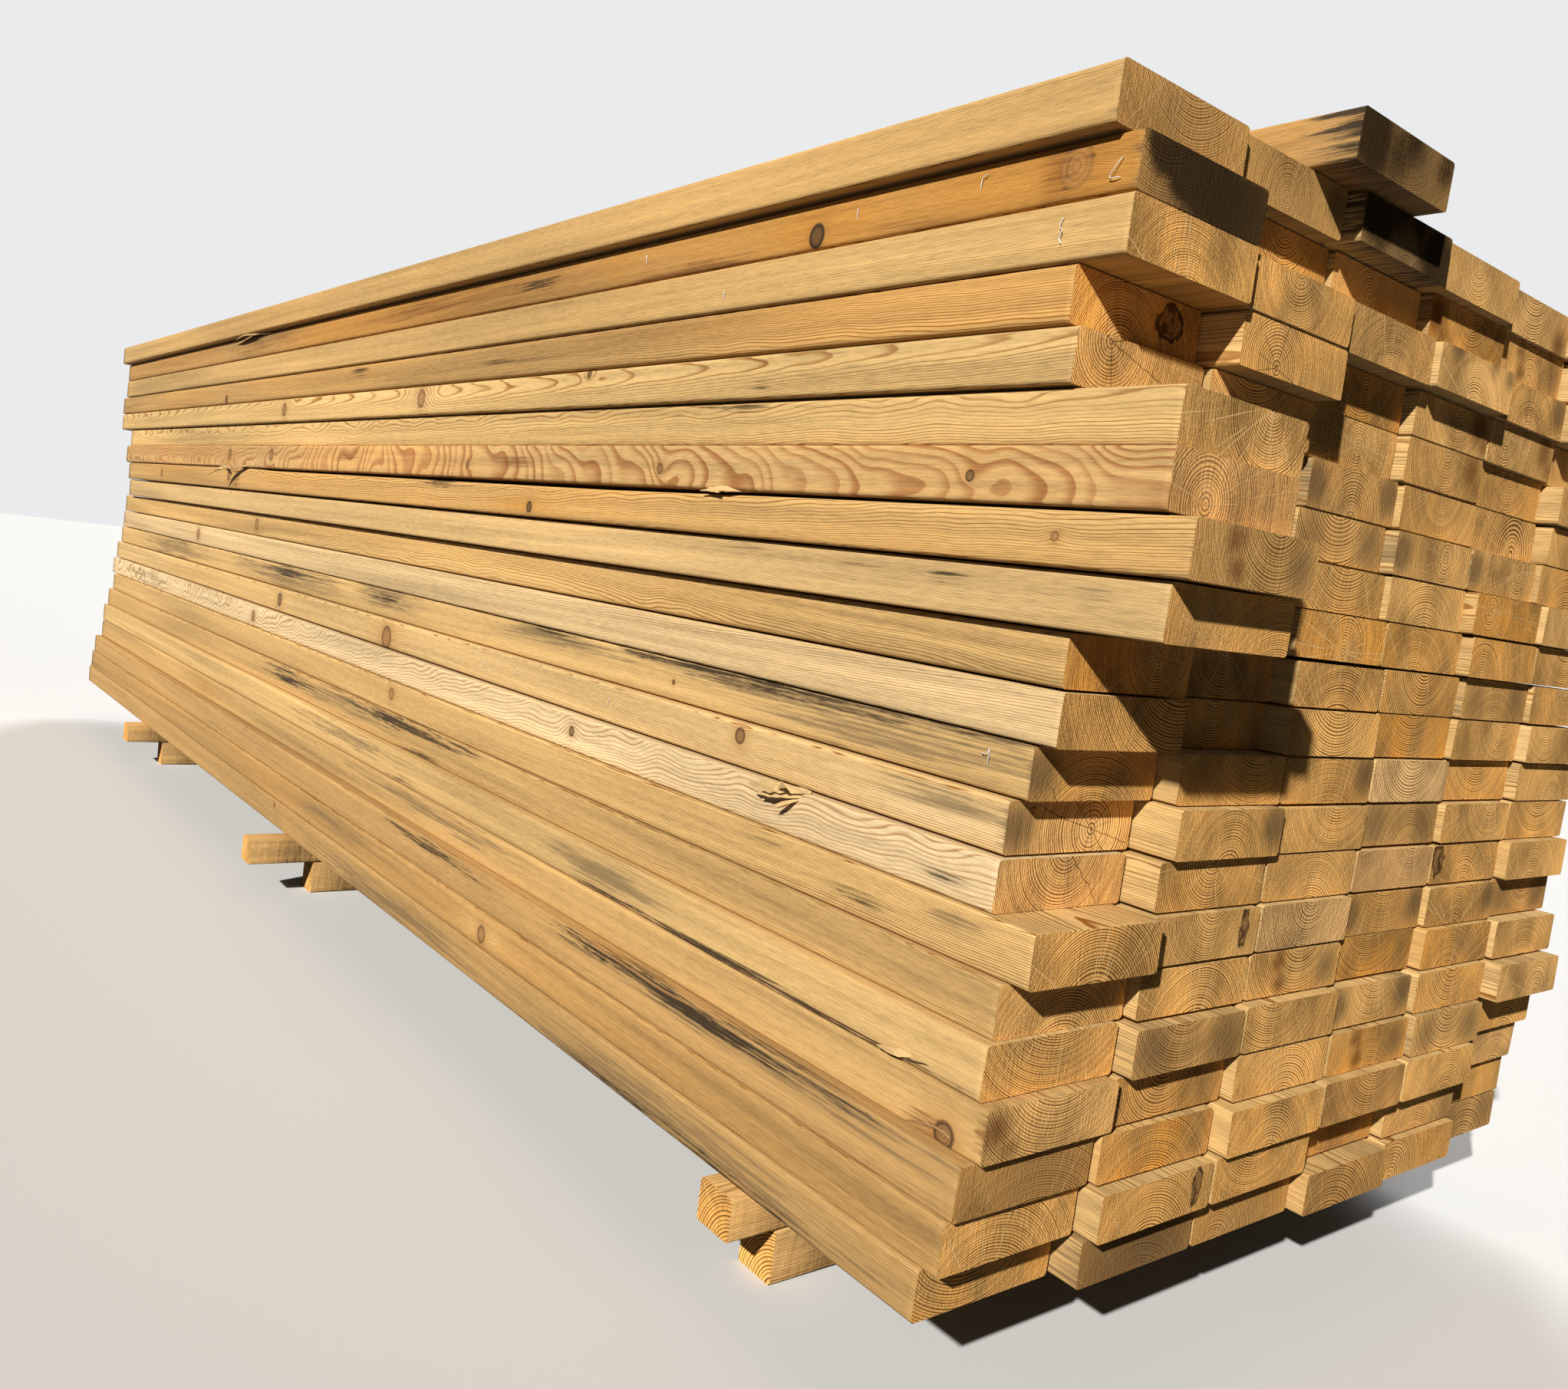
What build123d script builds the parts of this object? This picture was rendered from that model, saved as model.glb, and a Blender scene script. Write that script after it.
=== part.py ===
"""A stack of dressed softwood boards, six side by side and twenty-one layers high.

The boards are all of one stock size and lie flat, with their long way along X. Their
ends aren't flush: each board stands a little in or out of the next one, and each layer
stands a little to the front or the back of the one below. The stack rests on cross
bearers at three places, with two square sticks on each other at each place, and one
loose board lies on top. X is along the boards, Y is across the stack, with its front
side at -Y, and Z is up. All sizes are in millimetres.
"""

from build123d import *
import os

os.makedirs("parts", exist_ok=True)

# One board: stock length, wet dressed width and thickness, and its eased long edges
board_length = 3048.0
board_width = 140.0
board_thickness = 40.0
edge_radius = 3.0

# Gap between two boards that lie side by side
board_gap = 4.0

# How far each board's near end stands out (+) or in (-) of the mean near end. There is
# one row for each layer, from the bottom layer up, and its boards go from front to back.
near_end_offsets = [
    [-15, 10, 10, 25, 20, 0],
    [0, 20, 20, 5, 15, 0],
    [5, 10, 25, 25, 25, 5],
    [10, 5, 15, 15, 20, 10],
    [0, 15, 15, 10, 15, 30],
    [-5, 5, 5, 0, 10, 15],
    [15, 5, 5, 0, 5, 0],
    [-30, 0, 0, 0, 0, 10],
    [-35, 5, 0, -5, 0, 0],
    [-25, -5, -5, -5, -10, 0],
    [-5, -30, -5, -10, -5, 5],
    [-10, -30, -10, -10, -5, 0],
    [70, -20, -10, -10, 0, 0],
    [85, -15, -15, -10, 0, 5],
    [65, -30, -20, -10, -10, -5],
    [60, -30, -20, -15, -20, -5],
    [-25, -20, -25, -15, -20, 0],
    [-35, 0, -25, -15, -15, -20],
    [5, 0, -5, 0, -10, 0],
    [5, -30, -25, -15, -20, 10],
    [-10, -15, 0, -5, -15, 10],
]

# How far each layer stands out towards the front, from the bottom layer up
front_offsets = [
    31, 30, 27, 14, 12, 3, -2, -7, -14, -20, -18,
    -21, -11, -4, 0, -8, -2, -3, -1, -2, 10,
]

# The loose board on top: its near end, and its front side from the mean front face
loose_near_end = 20.0
loose_front_side = 220.0

# Bearers: sections of the sticks, and how much longer or shorter they are than the
# stack is wide
bearer_width = 44.0
upper_bearer_height = 37.0
lower_bearer_height = 48.0
upper_bearer_extra = 90.0
lower_bearer_shortfall = 10.0

# Bearers: where they lie along the stack, and how far each upper stick's front end
# stands out of the mean front face
near_bearer_inset = 205.0
middle_bearer_shift = 120.0
far_bearer_inset = 610.0
near_bearer_overhang = 45.0
middle_bearer_overhang = 90.0
far_bearer_overhang = 65.0

# Sizes of the whole stack
layer_count = len(near_end_offsets)
boards_in_layer = len(near_end_offsets[0])
column_pitch = board_width + board_gap
stack_width = boards_in_layer * column_pitch - board_gap
stack_height = layer_count * board_thickness
bearer_height = lower_bearer_height + upper_bearer_height

# Middle of each pair of bearers along X from the mean near end, and its overhang
bearer_places = {
    "near": (-near_bearer_inset - bearer_width / 2, near_bearer_overhang),
    "middle": (-board_length / 2 + middle_bearer_shift, middle_bearer_overhang),
    "far": (-board_length + far_bearer_inset + bearer_width / 2, far_bearer_overhang),
}

# Reach of the whole object from the mean near end and the mean front face. The origin
# is under the middle of it.
overhangs = [overhang for centre, overhang in bearer_places.values()]
near_reach = max(loose_near_end, max(max(row) for row in near_end_offsets))
far_reach = min(loose_near_end, min(min(row) for row in near_end_offsets)) - board_length
front_reach = -max(max(front_offsets), max(overhangs))
back_reach = stack_width + max(-min(front_offsets), upper_bearer_extra - min(overhangs))
origin_x = (near_reach + far_reach) / 2
origin_y = (front_reach + back_reach) / 2


def write(part, name):
    """Label a finished piece and write its file."""
    part.label = name
    export_step(part, f"parts/{name}.step")


def end_plane(near_end, front_side, bottom):
    """The plane of a board's near end, with its origin at the middle of that end."""
    middle_y = front_side + board_width / 2
    middle_z = bottom + board_thickness / 2
    return Plane(
        origin=(near_end - origin_x, middle_y - origin_y, middle_z),
        x_dir=(0, 1, 0),
        z_dir=(1, 0, 0),
    )


def layer_of_boards(layer):
    """The boards of one layer, as solids that don't touch."""
    bottom = bearer_height + layer * board_thickness
    with BuildPart() as boards:
        for column, near_end in enumerate(near_end_offsets[layer]):
            front_side = column * column_pitch - front_offsets[layer]
            with BuildSketch(end_plane(near_end, front_side, bottom)):
                RectangleRounded(board_width, board_thickness, edge_radius)
            extrude(amount=-board_length)
    return boards.part


def loose_board():
    """The one board that lies on top of the highest layer."""
    bottom = bearer_height + stack_height
    with BuildPart() as board:
        with BuildSketch(end_plane(loose_near_end, loose_front_side, bottom)):
            RectangleRounded(board_width, board_thickness, edge_radius)
        extrude(amount=-board_length)
    return board.part


def bearer(centre_x, front_end, length, bottom, height):
    """One stick across the stack, from its front end to the back."""
    middle_y = front_end + length / 2
    with BuildPart() as stick:
        with BuildSketch(Plane.XY.offset(bottom)):
            with Locations((centre_x - origin_x, middle_y - origin_y)):
                Rectangle(bearer_width, length)
        extrude(amount=height)
    return stick.part


for layer in range(layer_count):
    write(layer_of_boards(layer), f"layer_{layer + 1:02d}")

write(loose_board(), "loose_top_board")

for place, (centre_x, overhang) in bearer_places.items():
    lower_length = stack_width - lower_bearer_shortfall
    lower_front = lower_bearer_shortfall / 2
    lower = bearer(centre_x, lower_front, lower_length, 0, lower_bearer_height)
    write(lower, f"{place}_lower_bearer")
    upper_length = stack_width + upper_bearer_extra
    upper = bearer(centre_x, -overhang, upper_length, lower_bearer_height, upper_bearer_height)
    write(upper, f"{place}_upper_bearer")
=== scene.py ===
import math
import random

import bpy
import numpy as np
from mathutils import Matrix, Vector


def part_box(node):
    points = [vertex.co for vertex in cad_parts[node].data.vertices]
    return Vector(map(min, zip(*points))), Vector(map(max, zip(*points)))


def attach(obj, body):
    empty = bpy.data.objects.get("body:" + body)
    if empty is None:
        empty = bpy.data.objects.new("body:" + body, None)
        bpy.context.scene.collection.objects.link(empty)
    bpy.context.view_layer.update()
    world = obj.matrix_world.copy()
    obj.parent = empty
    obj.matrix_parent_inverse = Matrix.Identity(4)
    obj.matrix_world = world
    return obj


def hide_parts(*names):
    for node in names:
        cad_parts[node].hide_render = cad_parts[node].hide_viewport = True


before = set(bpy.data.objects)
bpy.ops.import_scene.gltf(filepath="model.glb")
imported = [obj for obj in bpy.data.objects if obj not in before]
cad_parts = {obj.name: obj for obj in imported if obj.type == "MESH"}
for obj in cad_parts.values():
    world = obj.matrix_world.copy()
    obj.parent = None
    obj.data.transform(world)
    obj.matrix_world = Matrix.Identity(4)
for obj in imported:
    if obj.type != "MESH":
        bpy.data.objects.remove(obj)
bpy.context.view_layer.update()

MM = 0.001

# The stack's layers and columns, the gap between columns, and the boards' eased edges
LAYERS = 21
COLUMNS = 6
BOARD_GAP = 4 * MM
EDGE_RADIUS = 3 * MM

# Where the boards' near ends lie on average, in the frame of the part
NEAR_PLANE = 1.499

SEED = 7

# Ends of the boards, from the top layer down and from the front board to the back one.
# Each says where the heart of the tree is, across and up from the middle of the end in mm,
# how wide the rings are in mm, and words for what else shows.
ENDS = [
    ["2 50 2.1 dull", "-9 -8 1.5 grey_right dull", "2 -28 2.0 black", "-10 14 1.8",
     "-15 40 2.6 pale wound", "20 -30 2.4 pale"],
    ["-50 55 2.2 mould checks bold", "7 20 2.2 orange", "-12 -4 2.0 brown",
     "5 25 2.4 orange resin_left", "0 -15 2.3 bands", "10 40 2.6"],
    ["-2 -45 1.8 rays", "-10 21 2.0", "8 -50 2.0 rays", "0 -32 2.2 grey_top rays",
     "-5 -30 2.4 grey_right rays", "0 40 2.2"],
    ["-15 -30 2.0 orange bold knot_right", "-23 -13 2.2 checks", "0 30 2.4 orange",
     "8 24 2.2 resin_right", "-36 10 2.4 resin_right", "20 30 2.5"],
    ["-36 14 2.2 pale checks arcs", "-20 60 2.6", "10 0 2.0", "1 18 2.4 resin_right",
     "0 24 2.2 checks", "0 -40 2.4"],
    ["27 22 2.0 rays", "0 30 2.0", "0 -22 2.4 heart grey_left grey_right", "0 28 1.8",
     "22 -18 3.8 bold golden", "10 40 2.4"],
    ["-32 -11 2.4 pink flames", "0 45 2.2 dull", "-10 45 3.4 grey", "22 4 2.4 grey_left",
     "35 8 2.4 grey_left", "0 -50 2.6"],
    ["20 35 2.2 bands dull", "0 20 2.2 brown", "5 60 3.0 golden rays", "0 -45 2.6 rays pale",
     "-40 5 2.4 orange", "30 60 2.4"],
    ["60 -60 1.8 golden", "0 -30 2.0", "5 -12 2.2 orange rays", "-10 -50 2.2 rays orange",
     "-45 -25 2.2 orange", "0 50 2.6"],
    ["30 10 2.0 orange turned", "0 20 2.2 brown", "5 -60 2.7 rays", "0 35 2.8 bold orange",
     "0 -60 2.4 grey", "10 20 2.2"],
    ["60 60 3.0 checks", "0 30 2.2 brown", "0 50 3.0", "-5 60 2.5 bold orange",
     "30 35 2.2", "-30 40 2.4"],
    ["0 -60 2.2 grey_left checks", "30 60 2.4", "0 -90 2.2 rays grey_right", "0 40 3.0 pale",
     "0 45 2.6 orange", "20 -20 2.2"],
    ["23 -3 2.6 checks grey_left turned", "0 -32 2.2 grey_right", "20 50 2.4", "20 -30 2.2 grey",
     "30 35 2.2 rays", "0 60 2.6"],
    ["0 25 2.2 pale checks curls", "-3 20 2.2 rays", "3 -50 2.4 rays pale",
     "30 35 2.2 pink rays", "0 -30 2.6 dark_knot", "-10 -40 2.4"],
    ["0 -45 2.6 rays bold golden", "5 30 2.0 slit_knot", "5 25 2.4 pale",
     "0 80 2.4 grey_left grey_right rays", "-10 -30 2.4 rays grey_right", "10 30 2.2 grey"],
    ["0 -50 2.4", "5 -45 2.4 rays", "5 40 2.8 bands", "-10 60 2.2 bold orange rays",
     "-15 -40 2.0 orange rays", "0 -60 2.6"],
    ["5 70 2.4 golden rays", "-10 45 2.4 grey", "-30 50 2.4", "5 40 2.2 grey_left grey_right rays",
     "0 35 2.8 rays golden", "20 -20 2.4"],
    ["5 60 2.8 resin_left rays", "-10 28 2.6 brown", "5 -40 2.4", "0 -60 2.0 orange bands",
     "0 40 3.0 grey", "10 -40 2.8"],
    ["10 -80 2.6 dull brown rays", "-10 -60 2.4 orange", "-10 -35 2.4", "15 45 2.6 brown",
     "15 -35 2.4 golden", "25 -60 2.6 golden"],
    ["-20 -60 2.6 golden rays", "-8 -45 2.4 slit_knot", "-10 50 2.4", "0 90 1.6 brown",
     "-10 -60 2.6 golden", "0 120 2.2 golden"],
    ["-20 60 3.0 orange", "0 -55 2.6 brown dim", "-40 -30 2.4 brown dull", "-30 -60 3.5 brown",
     "-50 -20 3.0 brown", "0 -50 3.5 brown grey"],
]
# What the ring widths in this table are multiplied by
RING_SCALE = 1.35

# How far the rings of a turned board turn up, and where, towards the front from the middle
FRONT_TURN = 50 * MM
TURN_FROM = 40 * MM
TURN_WIDTH = 30 * MM

# The loose board and the bearers: their ends, and how bright and orange their long faces are
LOOSE_BOARD_END = "-10 60 2.2 dusky"
LOOSE_BOARD_TONE = -0.55
BEARER_END = "30 -30 3.0 brown"
BEARER_TONE, BEARER_ORANGE = -0.45, 0.35
BEARER_GAP = 0.2 * MM

# How much of each tint a word gives: brightness, orange, pink
TINTS = {
    "pale": (0.35, -0.2, 0.0), "brown": (-0.3, 0.15, 0.1), "orange": (-0.05, 0.55, 0.0),
    "golden": (0.15, 0.2, -0.1), "pink": (0.1, 0.0, 0.5), "grey": (-0.1, -0.3, 0.0),
}

# Marks on an end: kind, place across and up in mm, radius in mm, and strength
END_MARKS = {
    "black": "mould -50 12 38 1.5, mould 50 0 40 1.4, mould -14 18 30 1.2, "
        "mould 18 18 28 1.2, grey 0 0 120 1.2",
    "dusky": "mould -54 4 40 1.3, mould 10 18 34 1.0, mould -18 0 32 0.9, grey 0 0 120 1.2, "
        "mould 62 10 24 1.1",
    "mould": "mould -44 14 22 2.0, mould -20 9 26 2.0, mould 4 2 27 2.0, mould 28 -3 30 2.0, "
        "mould 54 -4 32 2.0, mould 22 -4 62 1.2, grey 0 0 90 1.2",
    "bands": "brown -26 10 14 1.15, brown -20 -9 13 1.15, brown 17 8 9 0.9, grey 48 0 26 1.0",
    "grey": "grey -45 0 34 0.9, grey 45 0 34 0.9, grey 0 5 30 0.6",
    "grey_left": "grey -60 0 22 1.2",
    "grey_right": "grey 58 5 22 1.2",
    "grey_top": "grey -40 18 16 1.2, grey 30 18 12 1.1, grey 62 12 12 1.0",
    "resin_left": "brown -60 4 20 1.3, brown -45 -12 14 1.0",
    "resin_right": "brown 50 6 22 1.2, brown 64 -8 16 1.0",
    "wound": "brown 50 -12 18 1.3",
    "heart": "brown 0 -12 24 0.5",
    "dull": "grey 0 0 120 0.62",
    "dim": "grey 0 0 120 1.1, brown 0 0 90 0.5",
}

# Knots that an end cuts through: place across and up in mm, and radii across and up in mm
END_KNOTS = {
    "knot_right": (36, 3, 15, 12), "slit_knot": (50, 2, 6, 15), "dark_knot": (-58, 4, 11, 15),
}

# The narrow faces of the front boards, from the top layer down: how pale and how orange,
# then marks as kind, place back from the near plane and up from the board's middle, length
# and height in mm, and strength
FRONTS = [
    (-0.25, 0.2,
        "brown 70 4 60 6 0.3, orange 1150 0 260 20 0.4, pale 1160 4 70 12 0.5, "
        "dark 1900 0 900 40 0.2"),
    (-0.45, 0.85,
        "brown 500 -17 340 8 0.9, dark 1180 0 900 40 0.65, brown 1080 2 620 16 0.75, "
        "mould 820 0 160 12 0.6, orange 310 -6 120 20 0.5, dark 250 0 300 40 0.15, "
        "orange 640 0 60 20 0.5, mould 1960 12 220 10 0.9, brown 1900 0 400 20 0.7, "
        "orange 60 0 180 24 0.8, brown 62 0 34 26 0.9, mould 54 2 9 24 0.95, "
        "mould 38 6 8 12 0.8, brown 200 -14 160 6 0.6"),
    (-0.25, 0.1, "pale 200 0 300 20 0.2, orange 780 0 600 40 0.2"),
    (-0.4, 0.5,
        "mould 840 0 260 10 0.6, mould 1380 8 90 7 0.9, dark 500 8 500 10 0.2"),
    (0.05, 0.0,
        "mould 370 -9 40 6 0.55, mould 190 5 90 8 0.4, pale 1130 0 80 14 0.4"),
    (0.0, 0.05, "mould 430 14 200 5 0.6, mould 300 12 90 4 0.6"),
    (-0.12, 0.6,
        "brown 830 0 110 9 1.0, brown 1380 2 110 10 1.0, dark 2300 6 700 12 0.5, "
        "pale 300 0 300 20 0.3"),
    # Layer 8: its brown mark at 2000 mm is painted shadow of the splinter that hangs from layer 7
    (-0.1, 0.55,
        "mould 1040 13 150 8 1.0, dark 2450 0 700 40 0.4, brown 2000 0 60 24 1.0, "
        "orange 820 -8 140 9 0.5"),
    (0.3, -0.1,
        "mould 370 15 110 6 0.7, mould 220 8 70 6 0.6, mould 125 6 60 6 0.65, "
        "grey -10 4 40 8 0.6"),
    (-0.1, 0.25, "orange 400 0 300 30 0.4"),
    (0.6, 0.0, ""),
    (0.0, 0.0,
        "grey 320 15 760 14 1.2, grey 170 0 340 40 0.9, mould 330 16 560 9 1.0, "
        "grey 720 12 300 14 1.2, mould 700 16 160 6 0.9, grey 1230 8 260 20 1.0, "
        "mould 1230 6 160 9 0.8, grey 1700 5 560 24 1.1, mould 1700 8 340 12 0.8, "
        "grey 2500 0 600 30 0.9"),
    (0.3, -0.1,
        "grey 100 6 150 12 0.9, orange 1200 0 200 24 0.6, pale 100 -8 200 12 0.3, "
        "dark 2100 0 800 40 0.4"),
    (0.95, -0.2,
        "mould 80 -6 60 7 0.55, mould 580 5 60 4 0.5, grey 2650 0 500 24 0.7"),
    (-0.1, 0.05,
        "mould 290 8 110 5 0.7, mould 160 -4 90 7 0.6, grey 60 8 60 10 0.7"),
    (-0.35, 0.1,
        "mould 1050 12 380 11 1.2, mould 1560 6 300 12 1.0, grey 1300 6 700 20 0.8, "
        "mould 1000 -16 160 6 0.9, mould 880 16 120 6 0.9, grey 80 -4 60 8 0.5"),
    (0.1, 0.05,
        "grey 500 0 220 24 1.0, mould 300 -18 540 4 1.3, grey 1250 4 500 18 0.8, "
        "dark 1500 0 900 40 0.2, mould 1030 -16 130 6 0.8"),
    (-0.3, 0.15,
        "dark 2000 0 300 20 0.3, grey 900 6 700 14 0.8, brown 40 -14 60 12 0.9"),
    (-0.5, 0.15,
        "mould 340 14 480 9 1.2, grey 280 12 560 14 1.1, mould 900 12 400 8 0.9"),
    (-0.55, 0.35,
        "pale 720 0 90 14 0.5, orange 300 0 600 30 0.2, grey 1200 6 500 16 0.7"),
    (-0.48, 0.1,
        "grey 360 -10 660 20 1.1, grey 1000 -6 600 20 1.0, mould 300 -16 400 6 0.9"),
]

# Knots on the same faces: layer from the top, place back from the near plane and up in mm,
# radius in mm, and from 0 for a live knot to 1 for a dead black one, or -1.6 where the grain
# only bends. Their radius is multiplied by the number below
FRONT_KNOT_SIZE = 0.8
FRONT_KNOTS = [
    (2, 317, -9, 12, 1.0), (2, 48, 2, 20, -1.6), (5, 677, 14, 5, 0.8), (5, 1130, 2, 16, 0.0),
    (5, 1730, 0, 13, 0.2), (7, 103, -2, 5, 0.7), (7, 513, -3, 6, 0.4), (7, 955, -4, 5, 0.4),
    (7, 1775, 4, 12, 0.2), (7, 2040, 3, 12, 0.3), (8, 22, 0, 4, 0.0), (8, 786, -9, 8, 0.9),
    (8, 2050, 4, 12, 0.3), (8, 2610, 0, 10, 0.2), (4, 2110, -12, 9, 1.0), (11, 2300, 0, 14, 0.1),
    (12, 475, -3, 3, 0.8), (13, 351, 7, 9, 0.5), (13, 1200, -6, 20, 0.2), (13, 1700, 0, 14, 0.6),
    (14, 637, 0, 7, 0.6), (14, 1820, -2, 12, 0.3), (18, 26, -13, 12, 0.5), (10, 1900, 0, 12, 0.1),
    (15, 1130, 4, 10, 0.0), (20, 720, -4, 12, 0.1), (21, 1480, 12, 4, 0.8),
]

# Staples left in the front faces: layer from the top, place back from the near plane and up
# in mm, and the name of a shape
STAPLES = [
    (2, 13, -6, "bent"), (2, 130, 4, "hook"), (2, 267, 2, "bar"), (2, 585, 2, "bar"),
    (3, 51, 0, "wave"), (3, 440, -6, "bar"), (12, 65, 4, "cross"), (13, 580, 0, "bar"),
    (13, 790, 2, "bar"), (13, 880, -2, "bar"),
]

# The wire of a staple, as places along the board, up and out of its face in mm
STAPLE_SHAPES = {
    "bar": [(0, -6, -2), (0, -5.5, 0.7), (0, 5.5, 0.7), (0, 6, -2)],
    "bent": [(-5, 11, -2), (-5, 10, 1.5), (1, 1, 3), (6, -7, 2.5), (-4, -8, 1.5), (-5, -8, -2)],
    "hook": [(5, -6, -2), (4, -5, 1), (3, 5, 1.5), (-3, 8, 2), (-4, 8, -2)],
    "wave": [(0, 14, -2), (0, 13, 1), (2, 6, 2), (-2, 0, 2.5), (1, -6, 2), (-1, -12, 1),
             (-1, -13, -2)],
    "cross": [(0, -9, -2), (0, -8, 1), (-1, 0, 1.5), (0, 9, 1), (1, 3, 2.2), (9, 2, 2),
              (10, 2, -2)],
}
STAPLE_SIZE = 0.66
STAPLE_RADIUS = 0.35 * MM

# Splinters and strips of bark on the front faces: layer from the top, how dark, the width
# in the middle in mm, and a spine as places back from the near plane, up and out in mm
SPLINTERS = [
    (14, 0.0, 9, [(240, 20, -3), (262, 19, 6), (285, 16, 13), (300, 15, 16)]),
    (14, 0.0, 7, [(246, 15, -2), (270, 13, 7), (292, 8, 11)]),
    (14, 0.2, 5, [(280, 21, -3), (268, 20, 8), (252, 22, 15)]),
    (14, 0.0, 4, [(250, 12, -1), (262, 6, 8), (270, 1, 10)]),
    (8, 0.0, 5, [(372, 20, -3), (390, 21, 3), (412, 20, 5), (436, 18, 6)]),
    (8, 0.0, 4, [(440, 21, -3), (425, 20, 4), (405, 17, 7)]),
    (7, 0.5, 7, [(1900, -16, -2), (1960, -20, 6), (2010, -26, 22), (2040, -40, 34)]),
    (7, 0.3, 6, [(2090, -17, -2), (2050, -19, 6), (2020, -22, 14)]),
    (2, 0.6, 6, [(1840, 16, -2), (1900, 19, 5), (1980, 20, 10), (2060, 17, 4)]),
    (2, 0.6, 5, [(2080, 10, -2), (2010, 12, 4), (1930, 15, 9)]),
    (17, 1.0, 2.4, [(50, -13, -0.5), (90, -17, 0.5), (250, -18, 0.5), (420, -17, 0.5),
                    (560, -19, -0.5)]),
    (17, 0.2, 5, [(66, -12, -2), (80, -14, 4), (98, -15, 6)]),
    (18, 0.9, 2.2, [(20, -12, -0.5), (34, -10, 0.5), (52, -14, 0.5), (64, -18, -0.5)]),
    (19, 0.9, 2.6, [(300, 18, -0.5), (360, 16, 0.6), (430, 17, 0.5), (520, 19, -0.5)]),
]
SPLINTER_THICKNESS = 1.6 * MM

# The wood of the splinters: its place from the tree's heart in m, then ring width in mm,
# brightness and orange, and last pink, contrast and flame
SPLINTER_HEART = (0.0, 0.2, 0.4)
SPLINTER_LOOK = (2.4, 0.35, 0.1)
SPLINTER_TINT = (0.0, 0.5, 0.0)

# The gap that shows above each front board, in mm, from the top layer down
GAPS_ABOVE = [0.3, 2.6, 1.4, 1.6, 2.2, 1.6, 0.3, 5.0, 1.8, 1.6, 1.6, 1.4, 1.2, 2.2,
              0.5, 0.5, 0.4, 0.9, 0.4, 0.4, 0.5]

# The layer with the widest of these gaps, then places into its board in m, and the share of
# the gap that is open there
WIDE_GAP_LAYER = 8
WIDE_GAP = ((0.0, 0.4, 0.7, 1.85, 2.0), (0.4, 0.6, 1.0, 1.0, 0.15))


class Value:
    """A number that varies over a surface, so that a pattern can be written as a formula."""

    def __init__(self, shader, socket):
        self.shader = shader
        self.socket = socket

    def math(self, operation, *others):
        return self.shader.math(operation, self, *others)

    def __add__(self, other):
        return self.math("ADD", other)

    def __sub__(self, other):
        return self.math("SUBTRACT", other)

    def __mul__(self, other):
        return self.math("MULTIPLY", other)

    def __truediv__(self, other):
        return self.math("DIVIDE", other)

    def __rsub__(self, other):
        return self.shader.math("SUBTRACT", other, self)

    __radd__ = __add__

    def step(self, low, high):
        """0 below low, 1 above high, and smooth between them."""
        return self.shader.step(self, low, high)


class Shader:
    """Makes the nodes of one material."""

    def __init__(self, name):
        self.material = bpy.data.materials.new(name)
        self.material.use_nodes = True
        self.tree = self.material.node_tree
        self.surface = self.tree.nodes["Principled BSDF"]

    def feed(self, socket, value):
        if isinstance(value, Value):
            self.tree.links.new(value.socket, socket)
        else:
            socket.default_value = value

    def node(self, kind, inputs, output=0, **settings):
        made = self.tree.nodes.new(kind)
        for name, value in settings.items():
            setattr(made, name, value)
        for key, value in inputs.items():
            self.feed(made.inputs[key], value)
        return Value(self, made.outputs[output])

    def math(self, operation, *values):
        return self.node("ShaderNodeMath", dict(enumerate(values)), operation=operation)

    def step(self, value, low, high):
        inputs = {"Value": value, "From Min": low, "From Max": high}
        return self.node("ShaderNodeMapRange", inputs, interpolation_type="SMOOTHSTEP")

    def read(self, name):
        """The three numbers that a mesh keeps at each point under a name."""
        parts = self.tree.nodes.new("ShaderNodeSeparateXYZ")
        self.feed(parts.inputs[0],
                  self.node("ShaderNodeAttribute", {}, "Vector", attribute_name=name))
        return [Value(self, socket) for socket in parts.outputs]

    def put(self, name, value):
        """Gives a socket of the surface a pattern, or a number for all of it."""
        self.feed(self.surface.inputs[name], value)

    def noise(self, x, y, z, detail=2.0, roughness=0.5):
        """Smooth noise from 0 to 1, with a mean of about a half."""
        place = self.node("ShaderNodeCombineXYZ", {0: x, 1: y, 2: z})
        inputs = {"Vector": place, "Scale": 1.0, "Detail": detail, "Roughness": roughness}
        return self.node("ShaderNodeTexNoise", inputs)

    def grain_noise(self, place, along, across, detail=2.0, roughness=0.5):
        """Noise that changes at one rate along the grain and at another across it."""
        x, y, z = place
        return self.noise(x * along, y * across, z * across, detail, roughness)

    def bell(self, value):
        """1 where the value is 0, and less the larger it is."""
        return self.math("EXPONENT", value * -1.0)

    def mix(self, share, first, second):
        """The first colour where the share is 0, and the second where it is 1."""
        inputs = {0: share, 6: first, 7: second}
        return self.node("ShaderNodeMix", inputs, 2, data_type="RGBA")

    def bump(self, height, distance):
        inputs = {"Height": height, "Distance": distance, "Strength": 1.0}
        return self.node("ShaderNodeBump", inputs, "Normal")


def colour(red, green, blue):
    return (red, green, blue, 1.0)


# Colours of the wood, as linear values
SIDE_EARLY = colour(0.58, 0.385, 0.158)
SIDE_LATE = colour(0.225, 0.085, 0.014)
END_EARLY = colour(0.98, 0.56, 0.185)
END_LATE = colour(0.10, 0.035, 0.008)
LATE_PALE = colour(0.36, 0.2, 0.075)
FLAME = colour(0.29, 0.105, 0.022)
SIDE_PALE = colour(0.64, 0.49, 0.29)
END_PALE = colour(0.9, 0.64, 0.36)
SIDE_DARK = colour(0.25, 0.125, 0.038)
END_DARK = colour(0.33, 0.165, 0.058)
SIDE_ORANGE = colour(0.47, 0.23, 0.052)
END_ORANGE = colour(0.94, 0.42, 0.075)
PINK = colour(0.52, 0.29, 0.17)
GREY_STAIN = colour(0.12, 0.082, 0.044)
# Brown for stains, and also for one painted splinter shadow on a front board
BROWN_STAIN_AND_SHADOW = colour(0.14, 0.05, 0.014)
MOULD = colour(0.022, 0.014, 0.008)
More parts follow.
